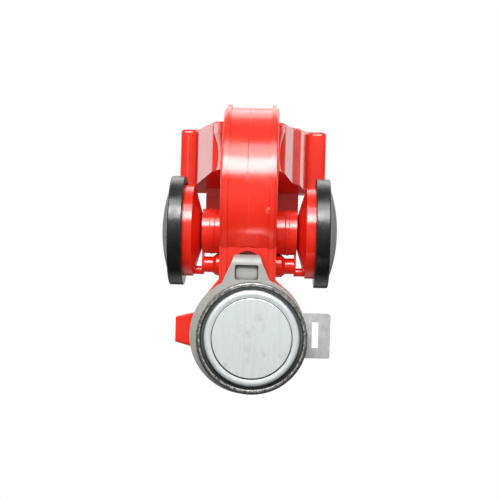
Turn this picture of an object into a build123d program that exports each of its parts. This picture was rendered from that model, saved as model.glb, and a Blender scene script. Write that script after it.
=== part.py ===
from build123d import *
from math import acos, atan2, cos, degrees, hypot, radians, sin
import os

# Compact twin-tone air horn with its own compressor. Millimetres.
# The origin is the centre of the slot in the mounting lug, on the lug's front face. +Z is up,
# +Y runs from the motor end to the trumpet mouths, and +X is to the right seen from the motor end.

# ---- driving dimensions -------------------------------------------------------------------
# Drum: two moulded halves meet on the plane X = 0, and a side cover closes each of them.
drum_r = 48.5
drum_front_y = 6.5
drum_bottom_z = -7.1
drum_y = drum_front_y + drum_r
drum_z = drum_bottom_z + drum_r
wall = 2.2
septum_t = 1.1
half_w = 13.2
cover_t = 1.6
cover_edge_r = 0.9
rib_w = 2.2
rib_h = 1.6
duct_floor_z = 11.4
# Island at the middle of the spiral: its tip, measured from the root of the flare's
# floor, its lower tip from that one, and its heel from the drum's centre.
island_tip = (-8.5, -8.9)
island_tip_low = (5.5, -10.6)
island_heel = -8.0
island_rear = 8.0
island_rounds = (9.0, 5.0, 3.0)
neck_relief = 0.6

# Leg under the drum, with the arched recess for the mounting lug.
leg_front_y = 16.0
leg_back_y = 35.0
leg_top_z = 12.7
pad_z = -4.2
arch_depth = 5.0
arch_r = 6.8
arch_z = 4.1
arch_rim_w = 2.0
arch_rim_h = 0.9
air_port_x = 6.0
air_port_y = 28.0
air_port_r = 2.5

# Flared trumpets: plan and side outlines of each box-shaped mouth.
flare_front_y = 49.0
box_front_y = 94.0
mouth_y = 113.0
mouth_half_w = 43.1
flare_top_z = 82.1
flare_front_bottom_z = 54.3
mouth_bottom_z = 45.2
flare_edge_r = 2.4
corner_r = 2.8
bend_r = 3.0
# The wall of each flare in plan, from the drum to the box, and the box's lower front edge.
flare_left = {"wall": ((21.3, 49.0), (34.0, 94.0)), "bottom_z": 48.5}
flare_right = {
    "wall": ((18.3, 49.0), (22.9, 70.0), (27.8, 76.5), (32.6, 94.0)),
    "bottom_z": 45.6,
}

# Apron under the mouths, a pocket open to the rear.
apron_half_w = 27.4
apron_front_y = 99.0
apron_bottom_z = 21.4
apron_step_z = 41.9
apron_step = 0.8

# Neck, air tube and diaphragm housing on each side, all about one sideways axis.
neck_z = 21.4
neck_r = 12.3
neck_bore_r = 10.2
weld_x = 20.4
weld_bead = 0.35
web_x = 26.0
web_t = 1.2
web_w = 9.0
tube_z = 2.9
tube_r = 4.4
tube_bore_r = 2.6
socket_r = 6.5
socket_taper = 0.4
socket_len = 3.2
nozzle_z = -0.4
nozzle_r = 2.3
nozzle_sink = 0.8
nozzle_bore_r = 1.4
cup_r = 25.1
cup_back_x = 30.9
cup_root_r = 8.4
cup_wall = 2.0
cup_face_x = 37.0
throat_r = 8.8
throat_bore_r = 7.2
diaphragm_t = 0.5
fit_gap = 0.1

# Clamp ring and domed end cover.
ring_r = 30.2
ring_back_x = 35.9
ring_face_x = 43.7
ring_edge_r = 0.9
ring_back_edge_r = 0.5
ring_bore_r = 27.4
ring_ledge_r = 22.6
ring_ledge_t = 1.8
end_cover_r = 28.6
end_cover_t = 1.2
dome_x = 48.2
dome_r = 26.4
dome_fullness = 0.76
dome_lip = 0.9

# Compressor. The cast flange and the red housing share one axis; the motor is a little off it.
housing_r = 29.9
housing_top_z = -2.0
housing_back_y = 36.0
housing_edge_r = 3.0
shoulder_lead = 0.7
comp_x = 1.5
motor_x = 3.7
motor_z = housing_top_z - housing_r
flange_r = housing_r - 0.2
flange_back_y = 11.0
lug_top_z = 9.0
lug_top_half_w = 6.4
lug_side_half_w = 7.7
lug_side_z = 5.0
lug_root_half_w = 12.2
lug_root_z = -5.0
lug_back_y = 14.2
lug_corner_r = 2.0
brow_r = 5.2
slot_w = 12.0
slot_h = 7.6
slot_depth = 2.4
slot_corner_r = 1.0

# Motor can with its rolled rim, and the zinc end plate pressed up inside it.
can_r = 26.4
can_t = 1.2
can_front_y = -19.6
can_back_y = 5.4
bead_r = 27.6
bead_w = 2.7
bead_taper = 0.8
bead_outer_round = 1.2
bead_inner_round = 0.9
end_plate_t = 1.2
end_plate_y = -17.6
end_disc_r = 19.6
end_disc_y = -20.2
end_groove_w = 0.4
end_groove_d = 0.35
end_lip = 0.15
end_shoulder_r = 24.2
end_shoulder_round = 2.2
boss_wall = 1.4

bracket_t = 1.5
bracket_bore_r = 22.6
bracket_reach_x = 43.6
bracket_z = motor_z - 0.2
bracket_h = 23.2
bracket_slot_w = 3.4
bracket_slot_h = 13.3
bracket_slot_x = 35.9
bracket_slot_rise = 0.4
bracket_corner_r = 1.4
bracket_inset = 0.4

screw_pcr = 25.4
screw_angles = (35.0, 145.0, 270.0)
boss_r = 3.1
screw_r = 1.5
screw_gap = 0.15
screw_head_r = 3.0
screw_head_h = 2.2
screw_tip_y = 6.5

snout_root_x = -24.0
snout_tip_x = -37.0
snout_z = motor_z + 0.8
snout_y = 24.2
snout_root_h = 19.4
snout_root_d = 17.0
snout_tip_h = 13.2
snout_tip_d = 10.0
snout_wall = 1.8
snout_corner_r = 1.6
snout_overlap = 3.0
snout_inlet_w = 6.0
filter_t = 2.6
filter_gap = 0.2

# Motor and vane pump.
shaft_r = 2.5
shaft_gap = 0.05
shaft_front_y = -16.2
bush_r = 4.8
front_bush_y = (-16.4, -12.4)
rear_bush_y = (6.0, 10.8)
core_r = 15.0
core_y = (-11.0, -4.2)
core_slots = 5
slot_open_w = 3.4
slot_floor_r = 7.0
winding_r = 13.6
winding_over = 1.7
commutator_r = 6.2
commutator_gap = 0.5
commutator_cut = 0.8
commutator_y = (-1.6, 3.2)
air_gap = 0.8
magnet_arc = 130.0
magnet_y = (-13.2, -2.6)
holder_r = can_r - can_t - 0.2
holder_y = (2.4, 5.4)
holder_bore_r = 8.0
brush_w = 4.0
brush_h = 3.0
brush_y = 0.7
brush_reach = 6.4
brush_gap = 0.15
spring_r = 1.3
spring_wire_r = 0.22
spring_len = 5.0
spring_turns = 5
guide_t = 0.9
guide_outer = 19.2
terminal_w = 6.3
terminal_t = 0.8
terminal_x = 8.0
terminal_drop = 21.4
terminal_out = 8.0
terminal_gap = 0.2
terminal_tip = 1.0
terminal_hole_r = 0.9

chamber_r = 15.4
chamber_wall = 2.6
chamber_off = 2.1
chamber_back_y = 21.0
rotor_r = 13.1
rotor_gap = 0.12
vane_count = 4
vane_t = 1.6
vane_slot_floor = 5.0
vane_gap = 0.05
gasket_t = 0.4
pump_cover_t = 2.4
chamber_port_r = 1.8
cover_screw_r = 1.2
cover_screw_grip = 5.0
cover_screw_pitch = 90
thread_depth = 0.35
cover_screw_head_r = 2.2
cover_screw_head_h = 1.4

# ---- planes and axes worked out from them -----------------------------------------------
outer_x = half_w + cover_t
motor_plane = Plane(origin=(motor_x, 0, motor_z), x_dir=(1, 0, 0), z_dir=(0, 0, 1))
motor_axis = Axis((motor_x, 0, motor_z), (0, 1, 0))
side_plane = Plane(origin=(0, drum_y, neck_z), x_dir=(1, 0, 0), z_dir=(0, -1, 0))
side_axis = Axis((0, drum_y, neck_z), (1, 0, 0))
inner_r = drum_r - wall
leg_floor_z = duct_floor_z - wall
flange_front = Plane.XZ
chamber_front_y = flange_back_y


def across(y):
    """Upright plane facing the motor end, at the distance y from the lug's face."""
    return Plane.XZ.offset(-y)


def drum_outline(grow=0.0):
    """Side outline of the drum and its leg, in a sketch on a YZ plane."""
    with Locations((drum_y, drum_z)):
        Circle(drum_r + grow)
    with Locations((leg_front_y - grow, pad_z)):
        Rectangle(
            leg_back_y - leg_front_y + grow,
            leg_top_z - pad_z + grow,
            align=(Align.MIN, Align.MIN),
        )


def lug_outline():
    """Bell-shaped outline of the mounting lug, as a sketch on XY."""
    with BuildSketch() as bell:
        with BuildLine():
            Polyline(
                (-lug_root_half_w, 2 * pad_z),
                (-lug_root_half_w, lug_root_z),
                (-lug_side_half_w, lug_side_z),
                (-lug_top_half_w, lug_top_z),
                (lug_top_half_w, lug_top_z),
                (lug_side_half_w, lug_side_z),
                (lug_root_half_w, lug_root_z),
                (lug_root_half_w, 2 * pad_z),
                close=True,
            )
        make_face()
        for side in (-1, 1):
            crown = (side * lug_top_half_w, lug_top_z)
            fillet(bell.vertices().sort_by_distance(crown)[0], lug_corner_r)
    return bell.sketch


def arch_outline(r):
    """Round-topped outline of the recess in the leg, in a sketch on an upright plane."""
    with Locations((0, arch_z)):
        Circle(r)
        Rectangle(2 * r, arch_z - pad_z + wall, align=(Align.CENTER, Align.MAX))


def flare_block(form, inset):
    """One trumpet from the drum to the mouth: its plan outline crossed with its side outline.

    An inset of the wall thickness gives the hollow, which runs out through the mouth."""
    seam_x = septum_t - inset if inset else 0
    rear_y = mouth_y + 2 * inset
    corner = (mouth_half_w, box_front_y)
    with BuildPart() as block:
        with BuildSketch(Plane.XY.offset(mouth_bottom_z - 2 * wall)) as plan:
            with BuildLine():
                Polyline(
                    (seam_x, flare_front_y),
                    *form["wall"],
                    corner,
                    (mouth_half_w, rear_y),
                    (seam_x, rear_y),
                    close=True,
                )
            make_face()
            fillet(plan.vertices().sort_by_distance(corner)[0], corner_r)
            for bend in form["wall"]:
                fillet(plan.vertices().sort_by_distance(bend)[0], bend_r)
            if inset:
                offset(amount=-inset, kind=Kind.INTERSECTION)
        extrude(amount=flare_top_z - mouth_bottom_z + 4 * wall)
        with BuildSketch(Plane.YZ.offset(-inset)) as side:
            with BuildLine():
                Polyline(
                    (flare_front_y, flare_top_z),
                    (rear_y, flare_top_z),
                    (rear_y, mouth_bottom_z),
                    *(((mouth_y, mouth_bottom_z),) if inset else ()),
                    (box_front_y, form["bottom_z"]),
                    (flare_front_y, flare_front_bottom_z),
                    close=True,
                )
            make_face()
            if inset:
                offset(amount=-inset, kind=Kind.INTERSECTION)
        extrude(amount=mouth_half_w + 2 * wall, mode=Mode.INTERSECT)
        if not inset:
            top = block.faces().sort_by(Axis.Z)[-1]
            rounded = [
                edge
                for edge in top.edges()
                if edge.center().X > 0.1 and edge.center().Y < rear_y - 0.1
            ]
            fillet(rounded, flare_edge_r)
    return block.part


def apron_block(form, inset):
    """Box under the mouth, or with an inset its pocket, open to the rear."""
    top_z = mouth_bottom_z if inset else form["bottom_z"] + wall / 2
    with BuildPart() as block:
        with BuildSketch(Plane.YZ.offset(septum_t if inset else 0)):
            with Locations((apron_front_y + inset, apron_bottom_z + inset)):
                Rectangle(
                    mouth_y - apron_front_y,
                    top_z - apron_bottom_z - inset,
                    align=(Align.MIN, Align.MIN),
                )
            if not inset:
                with Locations((apron_front_y - apron_step, apron_bottom_z)):
                    Rectangle(
                        mouth_y - apron_front_y,
                        apron_step_z - apron_bottom_z,
                        align=(Align.MIN, Align.MIN),
                    )
        extrude(amount=apron_half_w - inset - (septum_t if inset else 0))
    return block.part


def horn_half(form):
    """Right-hand half of the drum with its leg, spiral duct, trumpet and apron, one moulding."""
    with BuildSketch() as island:
        # Rib between the inlet end of the spiral and the flare above it.
        run = (form["bottom_z"] - flare_front_bottom_z) / (box_front_y - flare_front_y)
        lift = wall * (1 + run * run) ** 0.5
        tip_top = (flare_front_y, flare_front_bottom_z + lift)
        rear_top = (box_front_y + island_rear, form["bottom_z"] + lift + island_rear * run)
        tip = (flare_front_y + island_tip[0], flare_front_bottom_z + island_tip[1])
        tip_low = (tip[0] + island_tip_low[0], tip[1] + island_tip_low[1])
        with BuildLine():
            Polyline(
                tip_top,
                rear_top,
                (rear_top[0], duct_floor_z - wall),
                (drum_y, duct_floor_z - wall),
                (drum_y, drum_z + island_heel),
                tip_low,
                tip,
                close=True,
            )
        make_face()
        for corner, radius in zip((tip_top, tip, tip_low), island_rounds):
            fillet(island.vertices().sort_by_distance(corner)[0], radius)
        with Locations((drum_y, neck_z)):
            Circle(neck_r - neck_relief, mode=Mode.SUBTRACT)
            Rectangle(
                neck_r - neck_relief,
                neck_z,
                align=(Align.MIN, Align.MAX),
                mode=Mode.SUBTRACT,
            )
    with BuildSketch() as duct:
        with Locations((drum_y, drum_z)):
            Circle(inner_r)
        with Locations((drum_y, duct_floor_z)):
            Rectangle(
                2 * drum_r, 2 * drum_r, align=(Align.CENTER, Align.MAX), mode=Mode.SUBTRACT
            )
        add(island.sketch, mode=Mode.SUBTRACT)
    with BuildSketch() as core:
        with Locations((drum_y, drum_z)):
            Circle(inner_r)
        add(island.sketch, mode=Mode.INTERSECT)
        with Locations((drum_y, duct_floor_z)):
            Rectangle(
                2 * drum_r, 2 * drum_r, align=(Align.CENTER, Align.MAX), mode=Mode.SUBTRACT
            )
        offset(amount=-wall, kind=Kind.INTERSECTION)
    with BuildSketch() as manifold:
        with Locations((drum_y, drum_z)):
            Circle(inner_r)
        with Locations((drum_y, leg_floor_z)):
            Rectangle(
                2 * drum_r, drum_r, align=(Align.CENTER, Align.MAX), mode=Mode.INTERSECT
            )
        with Locations((leg_front_y + arch_depth + wall, pad_z + wall)):
            Rectangle(
                leg_back_y - leg_front_y - arch_depth - 2 * wall,
                leg_floor_z - pad_z - wall,
                align=(Align.MIN, Align.MIN),
            )
    with BuildPart() as half:
        with BuildSketch(Plane.YZ):
            drum_outline()
        extrude(amount=half_w)
        with BuildSketch(Plane.YZ.offset(half_w - rib_w)):
            drum_outline(rib_h)
        extrude(amount=rib_w)
        add(flare_block(form, 0))
        add(apron_block(form, 0))
        for hollow in (duct, core, manifold):
            with BuildSketch(Plane.YZ.offset(septum_t)):
                add(hollow.sketch)
            extrude(amount=half_w, mode=Mode.SUBTRACT)
        add(flare_block(form, wall), mode=Mode.SUBTRACT)
        add(apron_block(form, wall), mode=Mode.SUBTRACT)
        # Arched recess behind the lug, with a raised rim round it.
        with BuildSketch(across(leg_front_y - arch_rim_h)):
            arch_outline(arch_r + arch_rim_w)
            with Locations((0, pad_z)):
                Rectangle(4 * arch_r, drum_r, align=(Align.MIN, Align.MIN),
                          mode=Mode.INTERSECT)
        extrude(amount=-arch_rim_h - arch_depth)
        with BuildSketch(across(leg_front_y - rib_h)):
            arch_outline(arch_r)
        extrude(amount=-rib_h - arch_depth, mode=Mode.SUBTRACT)
        # Air ports from the compressor, one into each half's manifold.
        with Locations(Location((air_port_x, air_port_y, pad_z))):
            Cylinder(air_port_r, 4 * wall, mode=Mode.SUBTRACT)
    return half.part



def side_cover(form):
    """Right-hand side cover of the drum, with the stubs for the neck and the air tube."""
    with BuildPart() as cover:
        with BuildSketch(Plane.YZ.offset(half_w)):
            drum_outline()
        extrude(amount=cover_t)
        round_edge = cover.faces().sort_by(Axis.X)[-1].edges().filter_by(GeomType.CIRCLE)
        fillet(round_edge, cover_edge_r)
        with BuildSketch(Plane.YZ.offset(outer_x - cover_edge_r)):
            with Locations((drum_y, neck_z)):
                Circle(neck_r)
        extrude(amount=weld_x - outer_x + cover_edge_r)
        with BuildSketch(side_plane):
            with BuildLine():
                Polyline(
                    (half_w + fit_gap, tube_z - neck_z),
                    (half_w + fit_gap, tube_z - neck_z - socket_r),
                    (outer_x + socket_len, tube_z - neck_z - socket_r + socket_taper),
                    (weld_x - socket_taper, tube_z - neck_z - tube_r),
                    (weld_x, tube_z - neck_z - tube_r),
                    (weld_x, tube_z - neck_z),
                    close=True,
                )
            make_face()
        revolve(axis=Axis((0, drum_y, tube_z), (1, 0, 0)))
        with BuildSketch(Plane.YZ.offset(half_w)):
            with Locations((drum_y, neck_z)):
                Circle(neck_bore_r)
            with Locations((drum_y, tube_z)):
                Circle(tube_bore_r)
        extrude(amount=weld_x, mode=Mode.SUBTRACT)
        add(flare_block(form, 0), mode=Mode.SUBTRACT)
        add(apron_block(form, 0), mode=Mode.SUBTRACT)
    return cover.part


def diaphragm_housing():
    """Right-hand diaphragm housing: neck, coned cup with its throat, air tube and web."""
    slope = (cup_back_x - web_x) / (cup_r - cup_root_r)
    inner_root_x = web_x + cup_wall * (1 + slope * slope) ** 0.5
    with BuildPart() as housing:
        with BuildSketch(side_plane):
            with BuildLine():
                Polyline(
                    (weld_x, neck_bore_r),
                    (weld_x, neck_r + weld_bead),
                    (weld_x + web_t, neck_r + weld_bead),
                    (weld_x + web_t + weld_bead, neck_r),
                    (web_x, neck_r),
                    (web_x, cup_root_r),
                    (cup_back_x, cup_r),
                    (cup_face_x, cup_r),
                    (cup_face_x, cup_r - cup_wall),
                    (inner_root_x + slope * (cup_r - cup_wall - cup_root_r), cup_r - cup_wall),
                    (inner_root_x + slope * (throat_r - cup_root_r), throat_r),
                    (cup_face_x - fit_gap, throat_r),
                    (cup_face_x - fit_gap, throat_bore_r),
                    (web_x - web_t, throat_bore_r),
                    (web_x - web_t, neck_bore_r),
                    close=True,
                )
            make_face()
        revolve(axis=side_axis)
        with BuildSketch(Plane.YZ.offset(weld_x)):
            with Locations((drum_y, tube_z)):
                Circle(tube_r)
        extrude(amount=web_x - weld_x)
        with BuildSketch(Plane.YZ.offset(web_x - web_t)):
            with Locations((drum_y, neck_z)):
                Rectangle(web_w, neck_z - tube_z, align=(Align.CENTER, Align.MAX))
                Circle(throat_r, mode=Mode.SUBTRACT)
        extrude(amount=web_t)
        with BuildSketch(Plane.YZ.offset(web_x - web_t)):
            with Locations((drum_y, nozzle_z)):
                Circle(nozzle_r)
        extrude(amount=web_t + slope * (neck_z - nozzle_z - cup_root_r) + nozzle_sink)
        # Air way: tube, step down behind the web, and the nozzle into the cup.
        with BuildSketch(Plane.YZ.offset(weld_x)):
            with Locations((drum_y, tube_z)):
                Circle(tube_bore_r)
        extrude(amount=web_x - web_t - weld_x + web_t / 3, mode=Mode.SUBTRACT)
        with BuildSketch(Plane.YZ.offset(web_x - 2 * web_t)):
            with Locations((drum_y, nozzle_z)):
                Circle(nozzle_bore_r)
        extrude(amount=cup_back_x - web_x + 3 * web_t, mode=Mode.SUBTRACT)
    return housing.part


def turned(plane, axis, points):
    """Solid of revolution about an axis, from its closed section."""
    with BuildPart() as piece:
        with BuildSketch(plane):
            with BuildLine():
                Polyline(*points, close=True)
            make_face()
        revolve(axis=axis)
    return piece.part


def clamp_ring():
    """Black ring that clamps the diaphragm's edge against the cup, right-hand side."""
    bore = cup_r + fit_gap
    seat_x = cup_face_x + diaphragm_t
    with BuildPart() as ring:
        with BuildSketch(side_plane) as section:
            with BuildLine():
                Polyline(
                    (ring_back_x, bore),
                    (ring_back_x, ring_r),
                    (ring_face_x, ring_r),
                    (ring_face_x, end_cover_r + fit_gap),
                    (ring_face_x - end_cover_t, end_cover_r + fit_gap),
                    (ring_face_x - end_cover_t, ring_bore_r),
                    (seat_x + ring_ledge_t, ring_bore_r),
                    (seat_x + ring_ledge_t, ring_ledge_r),
                    (seat_x, ring_ledge_r),
                    (seat_x, bore),
                    close=True,
                )
            make_face()
            fillet(section.vertices().sort_by_distance((ring_face_x, ring_r))[0], ring_edge_r)
            back = section.vertices().sort_by_distance((ring_back_x, ring_r))[0]
            fillet(back, ring_back_edge_r)
        revolve(axis=side_axis)
    return ring.part


def end_cover():
    """Domed cover pressed into the clamp ring, right-hand side."""
    base_x = ring_face_x - end_cover_t
    with BuildPart() as cover:
        with BuildSketch(side_plane):
            with BuildLine():
                Polyline((dome_x, 0), (base_x + dome_x - ring_face_x, 0))
                Line((base_x + dome_x - ring_face_x, 0), (base_x + dome_x - ring_face_x, 0.01))
                ThreePointArc(
                    (base_x + dome_x - ring_face_x, 0.01),
                    (base_x + dome_fullness * (dome_x - ring_face_x), dome_r / 2),
                    (base_x, dome_r),
                )
                Polyline(
                    (base_x, dome_r),
                    (base_x, end_cover_r),
                    (ring_face_x, end_cover_r),
                    (ring_face_x, dome_r + dome_lip),
                    (ring_face_x - dome_lip / 2, dome_r + dome_lip / 2),
                )
                ThreePointArc(
                    (ring_face_x - dome_lip / 2, dome_r + dome_lip / 2),
                    (ring_face_x + dome_fullness * (dome_x - ring_face_x), dome_r / 2),
                    (dome_x, 0.01),
                )
                Line((dome_x, 0.01), (dome_x, 0))
            make_face()
        revolve(axis=side_axis)
    return cover.part


def hand_in(part, name):
    """Label a finished piece and write it."""
    part.label = name
    export_step(part, "parts/" + name + ".step")


os.makedirs("parts", exist_ok=True)

# ---- trumpets and diaphragms: the right side as drawn, the left side mirrored ------------
diaphragm = turned(
    side_plane,
    side_axis,
    ((cup_face_x, 0), (cup_face_x + diaphragm_t, 0), (cup_face_x + diaphragm_t, cup_r),
     (cup_face_x, cup_r)),
)
for side, form in (("right", flare_right), ("left", flare_left)):
    pieces = {
        "horn_half": horn_half(form),
        "side_cover": side_cover(form),
        "diaphragm_housing": diaphragm_housing(),
        "diaphragm": diaphragm,
        "clamp_ring": clamp_ring(),
        "end_cover": end_cover(),
    }
    for name, piece in pieces.items():
        with BuildPart() as placed:
            add(piece if side == "right" else mirror(piece, about=Plane.YZ, mode=Mode.PRIVATE))
        hand_in(placed.part, name + "_" + side)

# ---- compressor housing: red moulding with the snout and the pad under the leg ------------
housing_front_y = flange_back_y + bracket_t
screw_spots = [
    (comp_x + screw_pcr * cos(radians(a)), motor_z + screw_pcr * sin(radians(a)))
    for a in screw_angles
]
terminal_z = motor_z - terminal_drop
terminal_spots = [(motor_x - terminal_x, terminal_z), (motor_x + terminal_x, terminal_z)]


def on_housing(angle):
    """Point on the housing's circle at an angle, in degrees from +X towards +Z."""
    return (comp_x + housing_r * cos(radians(angle)), motor_z + housing_r * sin(radians(angle)))


def shoulder_at(pad_x):
    """Angle on the housing's circle where the side down from the pad's corner meets it."""
    corner = degrees(atan2(pad_z - motor_z, pad_x - comp_x))
    turn = degrees(acos(housing_r / hypot(pad_x - comp_x, pad_z - motor_z))) - shoulder_lead
    return corner - turn if pad_x > comp_x else corner + turn


def snout_plug(from_x, to_x, inset):
    """Length of the snout's taper between two stations, inset from its outside."""
    with BuildPart() as plug:
        for x in (from_x, to_x):
            share = (x - snout_root_x) / (snout_tip_x - snout_root_x)
            depth = snout_root_d + share * (snout_tip_d - snout_root_d) - 2 * inset
            height = snout_root_h + share * (snout_tip_h - snout_root_h) - 2 * inset
            with BuildSketch(Plane.YZ.offset(x)):
                with Locations((snout_y, snout_z)):
                    RectangleRounded(depth, height, snout_corner_r)
        loft()
    return plug.part


with BuildPart() as compressor_housing:
    with BuildSketch(across(housing_front_y)) as outline:
        with Locations((comp_x, motor_z)):
            Circle(housing_r)
        with BuildLine():
            Polyline(
                (-outer_x, pad_z),
                (outer_x, pad_z),
                on_housing(shoulder_at(outer_x)),
                (comp_x, motor_z),
                on_housing(shoulder_at(-outer_x)),
                close=True,
            )
        make_face()
        with Locations((comp_x, pad_z)):
            Rectangle(3 * housing_r, 3 * housing_r, align=(Align.CENTER, Align.MAX),
                      mode=Mode.INTERSECT)
    extrude(amount=housing_front_y - housing_back_y)
    back = compressor_housing.faces().sort_by(Axis.Y)[-1]
    fillet(back.edges().filter_by(GeomType.CIRCLE), housing_edge_r)
    # Intake snout on the left: a taper with a flat tip.
    add(snout_plug(snout_root_x, snout_tip_x, 0))
    # The pad is relieved where the drum's weld ribs come down past it.
    with BuildSketch(Plane.YZ):
        with Locations((drum_y, drum_z)):
            Circle(drum_r + rib_h + fit_gap)
    extrude(amount=outer_x, both=True, mode=Mode.SUBTRACT)
    # Hollow of the drum-shaped body, flattened under the pad.
    with BuildSketch(across(housing_front_y)):
        with Locations((comp_x, motor_z)):
            Circle(housing_r - wall)
        with Locations((comp_x, pad_z - wall)):
            Rectangle(3 * housing_r, 3 * housing_r, align=(Align.CENTER, Align.MAX),
                      mode=Mode.INTERSECT)
    extrude(amount=housing_front_y - housing_back_y + wall, mode=Mode.SUBTRACT)
    # Hollow of the snout, open to the body, with the air inlet on its underside.
    add(snout_plug(snout_root_x + snout_overlap, snout_tip_x + snout_wall, snout_wall),
        mode=Mode.SUBTRACT)
    with BuildSketch(Plane.XY.offset(snout_z)):
        with Locations((snout_tip_x + snout_wall + 0.6 * snout_inlet_w, snout_y)):
            RectangleRounded(snout_inlet_w, snout_inlet_w, snout_corner_r / 2)
    extrude(amount=-snout_root_h, mode=Mode.SUBTRACT)
    # Screw bosses, and the holes of the screws, the terminals and the air ports.
    with BuildSketch(across(housing_front_y)):
        with Locations(*screw_spots):
            Circle(boss_r)
    extrude(amount=housing_front_y - housing_back_y + wall / 2)
    with BuildSketch(across(housing_front_y)):
        with Locations(*screw_spots):
            Circle(screw_r + screw_gap)
        with Locations(*terminal_spots):
            Rectangle(terminal_w + 2 * terminal_gap, terminal_t + 2 * terminal_gap)
    extrude(amount=housing_front_y - housing_back_y, mode=Mode.SUBTRACT)
    with Locations((-air_port_x, air_port_y, pad_z), (air_port_x, air_port_y, pad_z)):
        Cylinder(air_port_r, 4 * wall, mode=Mode.SUBTRACT)
hand_in(compressor_housing.part, "compressor_housing")

# ---- pump body: die casting with the flange, the mounting lug and the vane chamber --------
with BuildPart() as pump_body:
    with BuildSketch(flange_front) as flange:
        with Locations((comp_x, motor_z)):
            Circle(flange_r)
        add(lug_outline())
    extrude(amount=-flange_back_y)
    with BuildSketch(across(flange_back_y)):
        add(lug_outline())
        with Locations((0, pad_z + 3 * fit_gap)):
            Rectangle(4 * lug_root_half_w, 4 * lug_top_z, align=(Align.CENTER, Align.MIN),
                      mode=Mode.INTERSECT)
    extrude(amount=flange_back_y - lug_back_y)
    # Rounded brow along the lug's top front edge.
    with BuildSketch(Plane.YZ):
        with Locations((0, lug_top_z - brow_r)):
            Rectangle(brow_r, brow_r, align=(Align.MIN, Align.MIN))
        with Locations((brow_r, lug_top_z - brow_r)):
            Circle(brow_r, mode=Mode.SUBTRACT)
    extrude(amount=lug_root_half_w, both=True, mode=Mode.SUBTRACT)
    # Mounting slot and the motor's seat.
    with BuildSketch(flange_front):
        RectangleRounded(slot_w, slot_h, slot_corner_r)
    extrude(amount=-slot_depth, mode=Mode.SUBTRACT)
    with BuildSketch(flange_front):
        with Locations((motor_x, motor_z)):
            Circle(can_r + fit_gap)
    extrude(amount=-can_back_y - fit_gap, mode=Mode.SUBTRACT)
    # Vane chamber, set off from the shaft.
    with BuildSketch(across(flange_back_y)):
        with Locations((motor_x, motor_z + chamber_off)):
            Circle(chamber_r + chamber_wall)
    extrude(amount=flange_back_y - chamber_back_y)
    with BuildSketch(across(chamber_front_y)):
        with Locations((motor_x, motor_z + chamber_off)):
            Circle(chamber_r)
    extrude(amount=chamber_front_y - chamber_back_y, mode=Mode.SUBTRACT)
    # Shaft and bush bore, screw holes, terminal slots.
    with BuildSketch(across(rear_bush_y[0] - 1)):
        with Locations((motor_x, motor_z)):
            Circle(bush_r)
    extrude(amount=rear_bush_y[0] - 1 - rear_bush_y[1], mode=Mode.SUBTRACT)
    with BuildSketch(across(0)):
        with Locations((motor_x, motor_z)):
            Circle(shaft_r + 4 * shaft_gap)
    extrude(amount=-chamber_back_y, mode=Mode.SUBTRACT)
    with BuildSketch(across(screw_tip_y - 0.3)):
        with Locations(*screw_spots):
            Circle(screw_r)
    extrude(amount=screw_tip_y - 0.3 - flange_back_y, mode=Mode.SUBTRACT)
    with BuildSketch(across(0)):
        with Locations(*terminal_spots):
            Rectangle(terminal_w + 2 * terminal_gap, terminal_t + 2 * terminal_gap)
    extrude(amount=-flange_back_y, mode=Mode.SUBTRACT)
    # Inlet and outlet ports of the chamber, and the holes for the cover's screws.
    cover_spots = [
        (
            motor_x + (chamber_r + chamber_wall / 2) * cos(radians(a)),
            motor_z + chamber_off + (chamber_r + chamber_wall / 2) * sin(radians(a)),
        )
        for a in (cover_screw_pitch * (i + 0.5) for i in range(4))
    ]
    with Locations(
        Location((motor_x, (chamber_front_y + chamber_back_y) / 2, motor_z + chamber_off), (0, 90, 0))
    ):
        Cylinder(chamber_port_r, 2 * (chamber_r + 2 * chamber_wall), mode=Mode.SUBTRACT)
    with BuildSketch(across(chamber_back_y)):
        with Locations(*cover_spots):
            Circle(cover_screw_r - thread_depth)
    extrude(amount=cover_screw_grip + screw_gap, mode=Mode.SUBTRACT)
hand_in(pump_body.part, "pump_body")

# ---- motor: can, end plate, magnets and bushes ---------------------------------------------
can_bore = can_r - can_t
with BuildPart() as motor_can:
    with BuildSketch(motor_plane) as section:
        with BuildLine():
            Polyline(
                (can_bore, can_back_y),
                (can_r, can_back_y),
                (can_r, can_front_y + bead_w + bead_taper),
                (bead_r, can_front_y + bead_w),
                (bead_r, can_front_y),
                (bead_r - bead_w, can_front_y),
                (bead_r - bead_w, end_plate_y - fit_gap),
                (can_bore, end_plate_y - fit_gap),
                close=True,
            )
        make_face()
        rim = section.vertices().sort_by_distance((bead_r, can_front_y))[0]
        fillet(rim, bead_outer_round)
        rim = section.vertices().sort_by_distance((bead_r - bead_w, can_front_y))[0]
        fillet(rim, bead_inner_round)
    revolve(axis=motor_axis)
hand_in(motor_can.part, "motor_can")

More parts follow.
